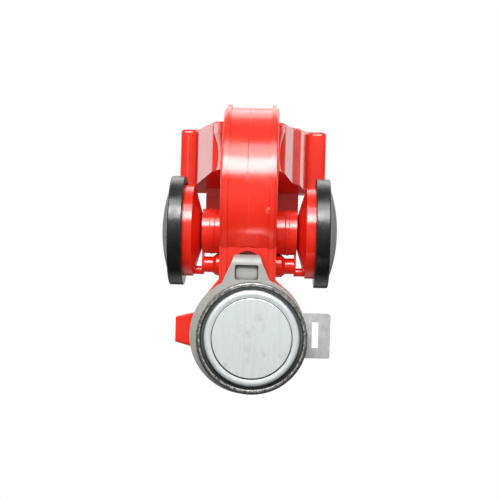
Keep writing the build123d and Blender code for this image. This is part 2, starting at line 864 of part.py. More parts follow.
plate_r = can_bore - fit_gap
lip_y = end_disc_y - end_lip
with BuildPart() as motor_end_plate:
    with BuildSketch(motor_plane) as section:
        with BuildLine():
            Polyline(
                (0, end_disc_y),
                (end_disc_r, end_disc_y),
                (end_disc_r, end_disc_y + end_groove_d),
                (end_disc_r + end_groove_w, end_disc_y + end_groove_d),
                (end_disc_r + end_groove_w, lip_y),
                (end_shoulder_r, lip_y),
                (end_shoulder_r, end_plate_y),
                (plate_r, end_plate_y),
                (plate_r, end_plate_y + end_plate_t),
                (end_shoulder_r - end_plate_t, end_plate_y + end_plate_t),
                (end_shoulder_r - end_plate_t, lip_y + end_plate_t),
                (bush_r + boss_wall, lip_y + end_plate_t),
                (bush_r + boss_wall, front_bush_y[1]),
                (bush_r, front_bush_y[1]),
                (bush_r, front_bush_y[0]),
                (0, front_bush_y[0]),
                close=True,
            )
        make_face()
        fillet(section.vertices().sort_by_distance((end_shoulder_r, lip_y))[0], end_shoulder_round)
        inner = (end_shoulder_r - end_plate_t, lip_y + end_plate_t)
        fillet(section.vertices().sort_by_distance(inner)[0], end_shoulder_round - end_plate_t)
    revolve(axis=motor_axis)
hand_in(motor_end_plate.part, "motor_end_plate")

for name, (low, high) in (("front_bush", front_bush_y), ("rear_bush", rear_bush_y)):
    bore = shaft_r + shaft_gap
    front = low + (0.8 if name == "front_bush" else 0)
    section = ((bore, front), (bush_r, front), (bush_r, high), (bore, high))
    hand_in(turned(motor_plane, motor_axis, section), name)

magnet_in = core_r + air_gap
for name, middle in (("magnet_left", 180), ("magnet_right", 0)):
    with BuildPart() as magnet:
        with BuildSketch(across(magnet_y[0])):
            with Locations((motor_x, motor_z)):
                Circle(can_bore - fit_gap)
                Circle(magnet_in, mode=Mode.SUBTRACT)
                half = magnet_arc / 2
                reach = 2 * can_r
                Polygon(
                    (0, 0),
                    (reach * cos(radians(middle - half)), reach * sin(radians(middle - half))),
                    (reach * cos(radians(middle)), reach * sin(radians(middle))),
                    (reach * cos(radians(middle + half)), reach * sin(radians(middle + half))),
                    align=None,
                    mode=Mode.INTERSECT,
                )
        extrude(amount=magnet_y[0] - magnet_y[1])
    hand_in(magnet.part, name)

# ---- rotor: shaft, core, windings, commutator and pump rotor with its vanes ---------------
rotor_y = (chamber_front_y + rotor_gap, chamber_back_y - rotor_gap)
with BuildPart() as motor_shaft:
    with BuildSketch(across(shaft_front_y)):
        with Locations((motor_x, motor_z)):
            Circle(shaft_r)
    extrude(amount=shaft_front_y - rotor_y[1])
    chamfer(motor_shaft.edges().filter_by(GeomType.CIRCLE), 0.4)
hand_in(motor_shaft.part, "motor_shaft")

core_angles = [90 + 360 * i / core_slots for i in range(core_slots)]
with BuildPart() as armature_core:
    with BuildSketch(across(core_y[0])):
        with Locations((motor_x, motor_z)):
            Circle(core_r)
            with PolarLocations(0, core_slots, start_angle=90):
                with Locations((slot_floor_r, 0)):
                    Rectangle(core_r, slot_open_w, align=(Align.MIN, Align.CENTER),
                              mode=Mode.SUBTRACT)
            Circle(shaft_r, mode=Mode.SUBTRACT)
    extrude(amount=core_y[0] - core_y[1])
hand_in(armature_core.part, "armature_core")

with BuildPart() as windings:
    with BuildSketch(across(core_y[0] - winding_over)):
        with Locations((motor_x, motor_z)):
            Circle(winding_r)
            Circle(slot_floor_r, mode=Mode.SUBTRACT)
    extrude(amount=-winding_over)
    with BuildSketch(across(core_y[1])):
        with Locations((motor_x, motor_z)):
            Circle(winding_r)
            Circle(slot_floor_r, mode=Mode.SUBTRACT)
    extrude(amount=-winding_over)
    with BuildSketch(across(core_y[0])):
        with Locations((motor_x, motor_z)):
            with PolarLocations(0, core_slots, start_angle=90):
                with Locations((slot_floor_r, 0)):
                    Rectangle(winding_r - slot_floor_r, slot_open_w,
                              align=(Align.MIN, Align.CENTER))
    extrude(amount=core_y[0] - core_y[1])
hand_in(windings.part, "armature_windings")

with BuildPart() as commutator:
    with BuildSketch(across(commutator_y[0])):
        with Locations((motor_x, motor_z)):
            Circle(commutator_r)
            with PolarLocations(0, core_slots, start_angle=90 + 180 / core_slots):
                with Locations((commutator_r - commutator_cut, 0)):
                    Rectangle(2 * commutator_cut, commutator_gap,
                              align=(Align.MIN, Align.CENTER), mode=Mode.SUBTRACT)
            Circle(shaft_r, mode=Mode.SUBTRACT)
    extrude(amount=commutator_y[0] - commutator_y[1])
hand_in(commutator.part, "commutator")

with BuildPart() as pump_rotor:
    with BuildSketch(across(rotor_y[0])):
        with Locations((motor_x, motor_z)):
            Circle(rotor_r)
            with PolarLocations(0, vane_count, start_angle=45):
                with Locations((vane_slot_floor, 0)):
                    Rectangle(rotor_r, vane_t + 2 * vane_gap, align=(Align.MIN, Align.CENTER),
                              mode=Mode.SUBTRACT)
            Circle(shaft_r, mode=Mode.SUBTRACT)
    extrude(amount=rotor_y[0] - rotor_y[1])
hand_in(pump_rotor.part, "pump_rotor")

for number in range(vane_count):
    turn = 45 + 360 * number / vane_count
    with BuildPart() as vane:
        with BuildSketch(across(rotor_y[0])):
            with Locations(Location((motor_x, motor_z), turn)):
                with Locations((vane_slot_floor + vane_gap, 0)):
                    Rectangle(rotor_r - vane_slot_floor - 3 * vane_gap, vane_t,
                              align=(Align.MIN, Align.CENTER))
        extrude(amount=rotor_y[0] - rotor_y[1])
    hand_in(vane.part, "pump_vane_" + str(number + 1))

# ---- brush gear ------------------------------------------------------------------------------
with BuildPart() as brush_holder:
    with BuildSketch(across(holder_y[0])):
        with Locations((motor_x, motor_z)):
            Circle(holder_r)
            Circle(holder_bore_r, mode=Mode.SUBTRACT)
    extrude(amount=holder_y[0] - holder_y[1])
    guide_in = commutator_r + brush_reach / 2
    with BuildSketch(across(holder_y[0])):
        for side in (-1, 1):
            with Locations((motor_x + side * (guide_in + guide_outer) / 2, motor_z)):
                Rectangle(guide_outer - guide_in, brush_w + 2 * brush_gap + 2 * guide_t)
    extrude(amount=holder_y[0] - brush_y + brush_h / 2 + brush_gap + guide_t)
    with BuildSketch(across(brush_y + brush_h / 2 + brush_gap)):
        for side in (-1, 1):
            with Locations((motor_x + side * (guide_outer - guide_t) / 2, motor_z)):
                Rectangle(guide_outer - guide_t, brush_w + 2 * brush_gap)
    extrude(amount=brush_h + 2 * brush_gap, mode=Mode.SUBTRACT)
hand_in(brush_holder.part, "brush_holder")

brush_in = commutator_r + brush_gap
for name, side in (("left", -1), ("right", 1)):
    with BuildPart() as brush:
        with BuildSketch(across(brush_y - brush_h / 2)):
            with Locations((motor_x + side * (brush_in + brush_reach / 2), motor_z)):
                Rectangle(brush_reach, brush_w)
        extrude(amount=-brush_h)
    hand_in(brush.part, "brush_" + name)
    spring_x = motor_x + side * (brush_in + brush_reach + spring_wire_r)
    with BuildPart() as spring:
        with BuildLine():
            coil = Helix(
                pitch=spring_len / spring_turns,
                height=spring_len,
                radius=spring_r,
                center=(spring_x, brush_y, motor_z),
                direction=(side, 0, 0),
            )
        with BuildSketch(Plane(origin=coil @ 0, z_dir=coil % 0)):
            RegularPolygon(spring_wire_r, 6)
        sweep(is_frenet=True)
    hand_in(spring.part, "brush_spring_" + name)

for name, spot in (("left", terminal_spots[0]), ("right", terminal_spots[1])):
    with BuildPart() as terminal:
        with BuildSketch(across(holder_y[1])):
            with Locations(spot):
                Rectangle(terminal_w, terminal_t)
        extrude(amount=holder_y[1] - housing_back_y - terminal_out)
        tip = terminal.faces().sort_by(Axis.Y)[-1]
        chamfer(tip.edges().filter_by(Axis.Z), terminal_tip)
        with Locations(
            Location((spot[0], housing_back_y + 0.62 * terminal_out, spot[1]))
        ):
            Cylinder(terminal_hole_r, 4 * terminal_t, mode=Mode.SUBTRACT)
    hand_in(terminal.part, "terminal_" + name)

# ---- pump cover with its gasket and screws ---------------------------------------------------
cover_r = chamber_r + chamber_wall
cover_y = chamber_back_y + gasket_t
with BuildPart() as pump_gasket:
    with BuildSketch(across(chamber_back_y)):
        with Locations((motor_x, motor_z + chamber_off)):
            Circle(cover_r)
            Circle(chamber_r, mode=Mode.SUBTRACT)
        with Locations(*cover_spots):
            Circle(cover_screw_r, mode=Mode.SUBTRACT)
    extrude(amount=-gasket_t)
hand_in(pump_gasket.part, "pump_gasket")

with BuildPart() as pump_cover:
    with BuildSketch(across(cover_y)):
        with Locations((motor_x, motor_z + chamber_off)):
            Circle(cover_r)
        with Locations(*cover_spots):
            Circle(cover_screw_r, mode=Mode.SUBTRACT)
    extrude(amount=-pump_cover_t)
hand_in(pump_cover.part, "pump_cover")

with BuildPart() as cover_screws:
    with BuildSketch(across(cover_y + pump_cover_t)):
        with Locations(*cover_spots):
            Circle(cover_screw_head_r)
    extrude(amount=-cover_screw_head_h)
    with BuildSketch(across(cover_y + pump_cover_t)):
        with Locations(*cover_spots):
            Circle(cover_screw_r - thread_depth)
    extrude(amount=pump_cover_t + gasket_t + cover_screw_grip)
hand_in(cover_screws.part, "pump_cover_screws")

# ---- bracket plate, clamped between the flange and the housing -----------------------------
with BuildPart() as bracket_plate:
    with BuildSketch(across(flange_back_y)) as outline:
        with Locations((comp_x, motor_z)):
            Circle(flange_r - bracket_inset)
        with Locations((comp_x, bracket_z)):
            Rectangle(bracket_reach_x - comp_x, bracket_h, align=(Align.MIN, Align.CENTER))
        for z in (bracket_z - bracket_h / 2, bracket_z + bracket_h / 2):
            corner = outline.vertices().sort_by_distance((bracket_reach_x, z))[0]
            fillet(corner, bracket_corner_r)
        with Locations((comp_x, motor_z)):
            Circle(bracket_bore_r, mode=Mode.SUBTRACT)
        with Locations((bracket_slot_x, bracket_z + bracket_slot_rise)):
            Rectangle(bracket_slot_w, bracket_slot_h, mode=Mode.SUBTRACT)
        with Locations((comp_x, pad_z)):
            Rectangle(4 * housing_r, 3 * housing_r, align=(Align.CENTER, Align.MAX),
                      mode=Mode.INTERSECT)
        with Locations(*screw_spots):
            Circle(screw_r + screw_gap, mode=Mode.SUBTRACT)
        with Locations(*terminal_spots):
            Rectangle(terminal_w + 2 * terminal_gap, 3 * terminal_t, mode=Mode.SUBTRACT)
    extrude(amount=-bracket_t)
hand_in(bracket_plate.part, "bracket_plate")

# ---- screws that hold the housing and the bracket to the flange ---------------------------
with BuildPart() as housing_screws:
    with BuildSketch(across(housing_back_y)):
        with Locations(*screw_spots):
            Circle(screw_head_r)
    extrude(amount=-screw_head_h)
    with BuildSketch(across(housing_back_y)):
        with Locations(*screw_spots):
            Circle(screw_r)
    extrude(amount=housing_back_y - screw_tip_y)
hand_in(housing_screws.part, "housing_screws")

# ---- foam filter in the snout -----------------------------------------------------------------
filter_x = comp_x - housing_r + wall
hand_in(snout_plug(filter_x, filter_x - filter_t, snout_wall + filter_gap), "intake_filter")
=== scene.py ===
from math import cos, pi, radians, sin

import bpy
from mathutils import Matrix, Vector


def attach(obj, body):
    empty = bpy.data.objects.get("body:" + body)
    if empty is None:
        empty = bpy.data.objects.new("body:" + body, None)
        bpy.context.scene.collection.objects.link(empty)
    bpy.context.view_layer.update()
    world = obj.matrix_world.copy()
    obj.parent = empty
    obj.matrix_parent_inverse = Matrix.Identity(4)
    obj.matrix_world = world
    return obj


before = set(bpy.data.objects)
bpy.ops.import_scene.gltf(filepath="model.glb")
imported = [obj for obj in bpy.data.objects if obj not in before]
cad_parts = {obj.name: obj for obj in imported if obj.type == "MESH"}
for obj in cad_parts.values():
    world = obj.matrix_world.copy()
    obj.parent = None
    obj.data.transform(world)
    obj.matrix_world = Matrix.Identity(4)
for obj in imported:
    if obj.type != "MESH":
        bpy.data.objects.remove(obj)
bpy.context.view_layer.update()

# Horn halves: two hollow mouldings in glossy red plastic, welded face to face along
# the middle of the drum. Each carries half a drum, a flared mouth, a leg and a neck.
# The gloss has the slight ripple and drift of colour that the mould leaves.
RED = (0.90, 0.030, 0.010, 1)
RED_DEEP = (0.82, 0.020, 0.007, 1)
RED_RUBBED = (0.93, 0.11, 0.06, 1)
RED_CREASE = (0.30, 0.008, 0.006, 1)
RED_WALL_SHADE = (0.52, 0.012, 0.006, 1)
RED_SEAM = (0.16, 0.006, 0.004, 1)
RED_SPECK = (0.10, 0.02, 0.015, 1)
RED_GLOSS = (0.16, 0.25)


def own_place(tree):
    """Position on the piece itself, in metres."""
    return tree.nodes.new("ShaderNodeTexCoord").outputs["Object"]


def apart_in(tree, vector):
    """The X, Y and Z of a position or a direction."""
    apart = tree.nodes.new("ShaderNodeSeparateXYZ")
    tree.links.new(vector, apart.inputs[0])
    return apart.outputs


def noise_in(tree, place, scale, detail, stretch=None):
    """Noise texture on the piece's own coordinates, stretched where asked."""
    noise = tree.nodes.new("ShaderNodeTexNoise")
    noise.inputs["Detail"].default_value = detail
    if stretch:
        squeeze = tree.nodes.new("ShaderNodeVectorMath")
        squeeze.operation = "MULTIPLY"
        squeeze.inputs[1].default_value = stretch
        tree.links.new(place, squeeze.inputs[0])
        place = squeeze.outputs[0]
    tree.links.new(place, noise.inputs["Vector"])
    if isinstance(scale, (int, float)):
        noise.inputs["Scale"].default_value = scale
    else:
        tree.links.new(scale, noise.inputs["Scale"])
    return noise.outputs["Fac"]


def spread_in(tree, value, low, high, to_low=0.0, to_high=1.0):
    """Value between low and high stretched over a new range and held at its ends."""
    spread = tree.nodes.new("ShaderNodeMapRange")
    spread.inputs["From Min"].default_value = low
    spread.inputs["From Max"].default_value = high
    for end, limit in (("To Min", to_low), ("To Max", to_high)):
        if isinstance(limit, (int, float)):
            spread.inputs[end].default_value = limit
        else:
            tree.links.new(limit, spread.inputs[end])
    tree.links.new(value, spread.inputs["Value"])
    return spread.outputs["Result"]


def mixed_in(tree, share, first, second):
    """Colour between two colours, each a socket or a plain colour."""
    mix = tree.nodes.new("ShaderNodeMix")
    mix.data_type = "RGBA"
    tree.links.new(share, mix.inputs["Factor"])
    for socket, colour in ((mix.inputs[6], first), (mix.inputs[7], second)):
        if isinstance(colour, tuple):
            socket.default_value = colour
        else:
            tree.links.new(colour, socket)
    return mix.outputs[2]


def raised_in(tree, height, strength, distance):
    """Bump node that raises the surface by a height."""
    bump = tree.nodes.new("ShaderNodeBump")
    bump.inputs["Strength"].default_value = strength
    bump.inputs["Distance"].default_value = distance
    tree.links.new(height, bump.inputs["Height"])
    return bump


def joined(tree, operation, first, second=0):
    """One or two values through one arithmetic node."""
    node = tree.nodes.new("ShaderNodeMath")
    node.operation = operation
    for socket, value in zip(node.inputs, (first, second)):
        if isinstance(value, (int, float)):
            socket.default_value = value
        else:
            tree.links.new(value, socket)
    return node.outputs[0]


def group_with(name, inputs, outputs):
    """New shader node group with the given sockets, and its two end nodes."""
    group = bpy.data.node_groups.new(name, "ShaderNodeTree")
    for label, kind, value in inputs:
        socket = group.interface.new_socket(label, in_out="INPUT", socket_type=kind)
        socket.default_value = value
    for label, kind in outputs:
        group.interface.new_socket(label, in_out="OUTPUT", socket_type=kind)
    start = group.nodes.new("NodeGroupInput")
    end = group.nodes.new("NodeGroupOutput")
    return group, start, end


# Drift of a moulding's colour and gloss, a few dark specks in the plastic, and the
# ripple left by the mould.
moulding, given, made = group_with(
    "moulded_skin",
    [("Colour", "NodeSocketColor", RED), ("Deep colour", "NodeSocketColor", RED_DEEP),
     ("Gloss low", "NodeSocketFloat", 0.2), ("Gloss high", "NodeSocketFloat", 0.3),
     ("Grain", "NodeSocketFloat", 900.0), ("Speck", "NodeSocketColor", RED_SPECK)],
    [("Colour", "NodeSocketColor"), ("Roughness", "NodeSocketFloat"),
     ("Height", "NodeSocketFloat")])
where = own_place(moulding)
drift = spread_in(moulding, noise_in(moulding, where, 34.0, detail=2), 0.35, 0.68)
drifted = mixed_in(moulding, drift, given.outputs["Colour"], given.outputs["Deep colour"])
cells = moulding.nodes.new("ShaderNodeTexVoronoi")
cells.inputs["Scale"].default_value = 110.0
moulding.links.new(where, cells.inputs["Vector"])
chosen = moulding.nodes.new("ShaderNodeSeparateColor")
moulding.links.new(cells.outputs["Color"], chosen.inputs[0])
spot = spread_in(moulding, cells.outputs["Distance"], 0.016, 0.03, 1.0, 0.0)
speck = joined(moulding, "MULTIPLY", spot,
               spread_in(moulding, chosen.outputs[0], 0.55, 0.6, 0.0, 0.85))
moulding.links.new(mixed_in(moulding, speck, drifted, given.outputs["Speck"]),
                   made.inputs["Colour"])
haze = spread_in(moulding, noise_in(moulding, where, 160.0, detail=4), 0.3, 0.7,
                 given.outputs["Gloss low"], given.outputs["Gloss high"])
moulding.links.new(haze, made.inputs["Roughness"])
ripple = moulding.nodes.new("ShaderNodeMath")
ripple.operation = "MULTIPLY_ADD"
ripple.inputs[1].default_value = 0.12
moulding.links.new(noise_in(moulding, where, given.outputs["Grain"], detail=2), ripple.inputs[0])
moulding.links.new(noise_in(moulding, where, 70.0, detail=1), ripple.inputs[2])
moulding.links.new(ripple.outputs[0], made.inputs["Height"])

# Corners where handling has rubbed the surface: a mask that is 1 along the edges.
rubbing, given, made = group_with(
    "rubbed_edges",
    [("Width", "NodeSocketFloat", 0.0006), ("Amount", "NodeSocketFloat", 0.6)],
    [("Mask", "NodeSocketFloat")])
eased = rubbing.nodes.new("ShaderNodeBevel")
eased.samples = 4
rubbing.links.new(given.outputs["Width"], eased.inputs["Radius"])
square = rubbing.nodes.new("ShaderNodeNewGeometry")
turned = rubbing.nodes.new("ShaderNodeVectorMath")
turned.operation = "DOT_PRODUCT"
rubbing.links.new(eased.outputs[0], turned.inputs[0])
rubbing.links.new(square.outputs["Normal"], turned.inputs[1])
edge = spread_in(rubbing, turned.outputs["Value"], 0.97, 0.82)
handled = spread_in(rubbing, noise_in(rubbing, own_place(rubbing), 260.0, detail=4), 0.35, 0.62)
patchy = joined(rubbing, "MULTIPLY", edge, handled)
rubbing.links.new(joined(rubbing, "MULTIPLY", patchy, given.outputs["Amount"]),
                  made.inputs["Mask"])

# Creases, seams and inner corners, darkened from ambient occlusion as dust and painted shade: 1 in
# the crease.
creasing, given, made = group_with(
    "dusty_creases",
    [("Reach", "NodeSocketFloat", 0.0016), ("Amount", "NodeSocketFloat", 0.7)],
    [("Mask", "NodeSocketFloat")])
open_sky = creasing.nodes.new("ShaderNodeAmbientOcclusion")
open_sky.samples = 6
creasing.links.new(given.outputs["Reach"], open_sky.inputs["Distance"])
closed = spread_in(creasing, open_sky.outputs["AO"], 0.36, 0.74, 1.0, 0.0)
creasing.links.new(joined(creasing, "MULTIPLY", closed, given.outputs["Amount"]),
                   made.inputs["Mask"])


def finish_named(name, metallic=0.0):
    """Empty material with one Principled shader and its tree."""
    material = bpy.data.materials.new(name)
    material.use_nodes = True
    tree = material.node_tree
    shader = tree.nodes["Principled BSDF"]
    shader.inputs["Metallic"].default_value = metallic
    return material, tree, shader


def place_group(tree, group, **values):
    """The group as a node in a material, with its own values."""
    node = tree.nodes.new("ShaderNodeGroup")
    node.node_tree = group
    for label, value in values.items():
        node.inputs[label.replace("_", " ")].default_value = value
    return node


# The weld seam, in metres: the plane where the halves meet, the half width of the
# groove in its thin and its wide places, and the heights over which it fades in and
# then out again towards the crown.
SEAM_X = -0.0008
SEAM_HALF = (0.00006, 0.00044)
SEAM_STARTS = (0.044, 0.050)
SEAM_ENDS = (0.063, 0.074)


def ragged_seam(tree, colour):
    """Thin dark groove where the halves meet, broken up along its length."""
    where = own_place(tree)
    parts = apart_in(tree, where)
    aside = joined(tree, "ABSOLUTE", joined(tree, "SUBTRACT", parts["X"], SEAM_X))
    patches = noise_in(tree, where, 480.0, detail=4, stretch=(1, 1, 0.6))
    ragged = spread_in(tree, patches, 0.34, 0.70, *SEAM_HALF)
    within = spread_in(tree, joined(tree, "DIVIDE", aside, ragged), 0.6, 1.0, 1.0, 0.0)
    fading = joined(tree, "MULTIPLY", spread_in(tree, parts["Z"], *SEAM_STARTS, 0.06, 1.0),
                    spread_in(tree, parts["Z"], *SEAM_ENDS, 1.0, 0.2))
    square = apart_in(tree, tree.nodes.new("ShaderNodeNewGeometry").outputs["Normal"])
    across = spread_in(tree, joined(tree, "ABSOLUTE", square["X"]), 0.3, 0.5, 1.0, 0.0)
    share = joined(tree, "MULTIPLY", joined(tree, "MULTIPLY", within, across), fading)
    return share, mixed_in(tree, share, colour, RED_SEAM)


# The flares' outer walls, in metres: how far out from the middle they start, where they
# end at the box, and where the right-hand one's last stretch begins, which gets less of the
# painted shade. They are drawn in a little as they cool, which leans their shading forward
# by WALL_LEAN, and they are painted a deeper red as shade.
WALL_OUT = (0.0178, 0.0184)
WALL_END = (0.0942, 0.0936)
WALL_LAST = (0.0735, 0.0765)
WALL_LEAN = -0.25


def drawn_walls(tree, normal, colour):
    """Normal and colour of the flares' slanted outer walls: hollowed a little, and painted a
    deeper red as shade.
    """
    where = apart_in(tree, own_place(tree))
    square = apart_in(tree, tree.nodes.new("ShaderNodeNewGeometry").outputs["Normal"])
    sideways = spread_in(tree, joined(tree, "ABSOLUTE", square["X"]), 0.85, 0.92)
    outside = spread_in(tree, joined(tree, "ABSOLUTE", where["X"]), *WALL_OUT)
    ahead = spread_in(tree, where["Y"], *WALL_END)
    share = joined(tree, "MULTIPLY", joined(tree, "MULTIPLY", sideways, outside), ahead)
    last = joined(tree, "MULTIPLY", spread_in(tree, where["X"], 0.0, 0.001),
                  spread_in(tree, where["Y"], *WALL_LAST))
    share = joined(tree, "MULTIPLY", share, spread_in(tree, last, 0, 1, 1.0, 0.68))
    lean = tree.nodes.new("ShaderNodeCombineXYZ")
    tree.links.new(joined(tree, "MULTIPLY", share, WALL_LEAN), lean.inputs["Y"])
    leaning = tree.nodes.new("ShaderNodeVectorMath")
    leaning.operation = "ADD"
    tree.links.new(normal, leaning.inputs[0])
    tree.links.new(lean.outputs[0], leaning.inputs[1])
    even = tree.nodes.new("ShaderNodeVectorMath")
    even.operation = "NORMALIZE"
    tree.links.new(leaning.outputs[0], even.inputs[0])
    # Painted shade: the slanted walls are mixed towards a deeper red, less so on the last stretch.
    wall_shade = joined(tree, "MULTIPLY", share, spread_in(tree, last, 0, 1, 1.0, 0.4))
    return even.outputs[0], mixed_in(tree, wall_shade, colour, RED_WALL_SHADE)


def plastic(name, colour, deep, rubbed, crease, gloss, ripple=0.1, grain=900.0, wear=0.6,
            seamed=False):
    """Moulded plastic: drifting colour, uneven gloss, rubbed corners and shaded creases."""
    material, tree, shader = finish_named(name)
    skin = place_group(tree, moulding, Colour=colour, Deep_colour=deep,
                       Gloss_low=gloss[0], Gloss_high=gloss[1], Grain=grain)
    rub = place_group(tree, rubbing, Amount=wear)
    dusk = place_group(tree, creasing, Amount=0.72)
    worn = mixed_in(tree, rub.outputs["Mask"], skin.outputs["Colour"], rubbed)
    waved = raised_in(tree, skin.outputs["Height"], strength=ripple, distance=0.0004)
    normal = waved.outputs[0]
    if seamed:
        groove, worn = ragged_seam(tree, worn)
        sunk = raised_in(tree, joined(tree, "MULTIPLY", groove, -1.0), strength=1.0,
                         distance=0.0004)
        tree.links.new(sunk.outputs[0], waved.inputs["Normal"])
        normal, worn = drawn_walls(tree, normal, worn)
    tree.links.new(mixed_in(tree, dusk.outputs["Mask"], worn, crease), shader.inputs["Base Color"])
    tree.links.new(skin.outputs["Roughness"], shader.inputs["Roughness"])
    tree.links.new(normal, shader.inputs["Normal"])
    return material


def dress(material, *names):
    """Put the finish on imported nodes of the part."""
    for name in names:
        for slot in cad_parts[name].material_slots:
            slot.material = material


red_plastic = plastic("red_moulding", RED, RED_DEEP, RED_RUBBED, RED_CREASE, RED_GLOSS,
                      ripple=0.12)
seamed_plastic = plastic("red_drum_moulding", RED, RED_DEEP, RED_RUBBED, RED_CREASE, RED_GLOSS,
                         ripple=0.12, seamed=True)
dress(seamed_plastic, "horn_half_left", "horn_half_right")

# Gate mark: the low round swelling where the hot plastic entered the right-hand half.
# It is the same red plastic, rougher, and painted a little paler as a highlight.
# Sizes are in millimetres.
GATE_PLACE = (10.7, 7.35, 32.0)
GATE_FACES = (0, -0.98, -0.199)
GATE_RADIUS = 1.9
GATE_HEIGHT = 0.5
GATE_SUNK_EDGE = 0.03
# Painted highlight: the mark's red is paler than the drum's.
GATE_RED_PAINTED_HIGHLIGHT = (0.93, 0.10, 0.06, 1)
GATE_RED_DEEP_PAINTED_HIGHLIGHT = (0.90, 0.08, 0.045, 1)
gate_highlight_plastic = plastic("red_gate_mark_painted_highlight", GATE_RED_PAINTED_HIGHLIGHT, GATE_RED_DEEP_PAINTED_HIGHLIGHT, RED_RUBBED, RED_CREASE,
                       (0.38, 0.46))


def made_of(name, points, faces, material, smooth=True):
    """Mesh from points in millimetres, in one finish, fixed to the horn."""
    mesh = bpy.data.meshes.new(name)
    mesh.from_pydata([[value / 1000 for value in point] for point in points], [], faces)
    mesh.update()
    for face in mesh.polygons:
        face.use_smooth = smooth
    piece = bpy.data.objects.new(name, mesh)
    mesh.materials.append(material)
    bpy.context.scene.collection.objects.link(piece)
    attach(piece, "horn")
    return piece


def low_dome(name, centre, normal, radius, height, material):
    """Shallow round swelling on a surface."""
    out = Vector(normal).normalized()
    side = out.orthogonal().normalized()
    over = out.cross(side)
    rings, spokes = 8, 40
    points = [Vector(centre) + out * height]
    for ring in range(1, rings + 1):
        share = ring / rings
        up = height * (0.5 + 0.5 * cos(pi * share)) - GATE_SUNK_EDGE * share
        for spoke in range(spokes):
            turn = 2 * pi * spoke / spokes
            points.append(Vector(centre) + out * up
                          + (side * cos(turn) + over * sin(turn)) * radius * share)
    faces = [(0, 1 + spoke, 1 + (spoke + 1) % spokes) for spoke in range(spokes)]
    for ring in range(rings - 1):
        for spoke in range(spokes):
            a = 1 + ring * spokes + spoke
            b = 1 + ring * spokes + (spoke + 1) % spokes
            faces.append((a, a + spokes, b + spokes, b))
    made_of(name, points, faces, material)


low_dome("gate_mark", GATE_PLACE, GATE_FACES, GATE_RADIUS, GATE_HEIGHT, gate_highlight_plastic)

# Weld flash: the thin line of red plastic that was squeezed out round each neck when it
# was welded to the drum. It stands a little proud of both. Sizes are in millimetres.
FLASH_RADIUS = 12.35
FLASH_THICK = 0.3
FLASH_Y, FLASH_Z = 55, 21.4


def tube_round(name, centre, radius, thick, material):
    """Thin raised ring about a sideways axis."""
    around, across = 96, 8
    points = []
    for step in range(around):
        turn = 2 * pi * step / around
        for bit in range(across):
            small = 2 * pi * bit / across
            out = radius + thick * cos(small)
            points.append((centre[0] + thick * sin(small), centre[1] + out * cos(turn),
                           centre[2] + out * sin(turn)))
    faces = []
    for step in range(around):
        this, following = step * across, (step + 1) % around * across
        for bit in range(across):
            beside = (bit + 1) % across
            faces.append((this + bit, this + beside, following + beside, following + bit))
    made_of(name, points, faces, material)


tube_round("weld_flash_left", (-19.2, FLASH_Y, FLASH_Z), FLASH_RADIUS, FLASH_THICK, red_plastic)
tube_round("weld_flash_right", (19.6, FLASH_Y, FLASH_Z), FLASH_RADIUS, FLASH_THICK, red_plastic)

# Flare roots: the slopes that lead from the drum's sides on to the flares. They are
# moulded with the halves in the same red plastic, and each rises from the drum with a
# foot that bows round a flat lens. Sizes are in millimetres.
ROOT_LOW_Z = 54.6
ROOT_TALL = 26.2
ROOT_INNER_X = 14.7
ROOT_FACE_Y = 48.97
ROOT_BACK_Y = 50.8
ROOT_LEAN = 2.1
ROOT_CURL = 0.3
ROOT_BOW = 2.4


def flare_root(name, side, foot_x, wall_x, middle_z, half, material):
    """Wedge from the drum's side to the front of a flare, closed at its back and ends."""
    points, faces = [], []
    steps, strips = 44, 8
    around = strips + 3
    for step in range(steps + 1):
        z = ROOT_LOW_Z + ROOT_TALL * step / steps
        bow = min(1.0, abs((z - middle_z) / half))
        foot = foot_x + (wall_x - foot_x) * bow ** ROOT_BOW
        deep = foot - ROOT_INNER_X
        for strip in range(strips + 1):
            inward = 1 - strip / strips
            points.append((side * (foot - deep * inward),
                           ROOT_FACE_Y - ROOT_LEAN * deep * (inward - ROOT_CURL * inward ** 2), z))
        points += [(side * foot, ROOT_BACK_Y, z), (side * ROOT_INNER_X, ROOT_BACK_Y, z)]
    for step in range(steps):
        for strip in range(around):
            a = step * around + strip
            b = step * around + (strip + 1) % around
            ring = (a, b, b + around, a + around)
            faces.append(ring if side > 0 else ring[::-1])
    for first in (0, steps * around):
        cap = tuple(range(first, first + around))
        faces.append(cap[::-1] if (side > 0) == (first == 0) else cap)
    wedge = made_of(name, points, faces, material, smooth=False)
    for face in wedge.data.polygons:
        face.use_smooth = face.index % around < strips and face.index < steps * around


flare_root("flare_root_left", -1, foot_x=18.9, wall_x=21.25, middle_z=62.9, half=12.2,
           material=red_plastic)
flare_root("flare_root_right", 1, foot_x=15.9, wall_x=18.25, middle_z=63.7, half=12.6,
           material=red_plastic)

# Box crease: the thin upright line on the front of the left-hand box. It is the flash
# that two parts of the mould left where they closed, in the same red plastic, painted
# paler as a highlight line. Sizes are in millimetres.
CREASE_SECTION = ((-38.9, 94.0), (-38.7, 93.65), (-38.2, 94.0))
CREASE_ENDS_Z = (50.5, 79.5)
PALE_RED_HIGHLIGHT = (0.93, 0.17, 0.12, 1)
PALE_RED_HIGHLIGHT_DEEP = (0.92, 0.14, 0.09, 1)
PALE_RED_HIGHLIGHT_RUBBED = (0.93, 0.2, 0.15, 1)
crease_points = [(x, y, z) for z in CREASE_ENDS_Z for x, y in CREASE_SECTION]
crease_faces = [(0, 1, 4, 3), (1, 2, 5, 4), (0, 2, 1), (3, 4, 5)]
highlight_edge_plastic = plastic("red_painted_highlight_edge", PALE_RED_HIGHLIGHT, PALE_RED_HIGHLIGHT_DEEP, PALE_RED_HIGHLIGHT_RUBBED, PALE_RED_HIGHLIGHT,
                       (0.2, 0.3))
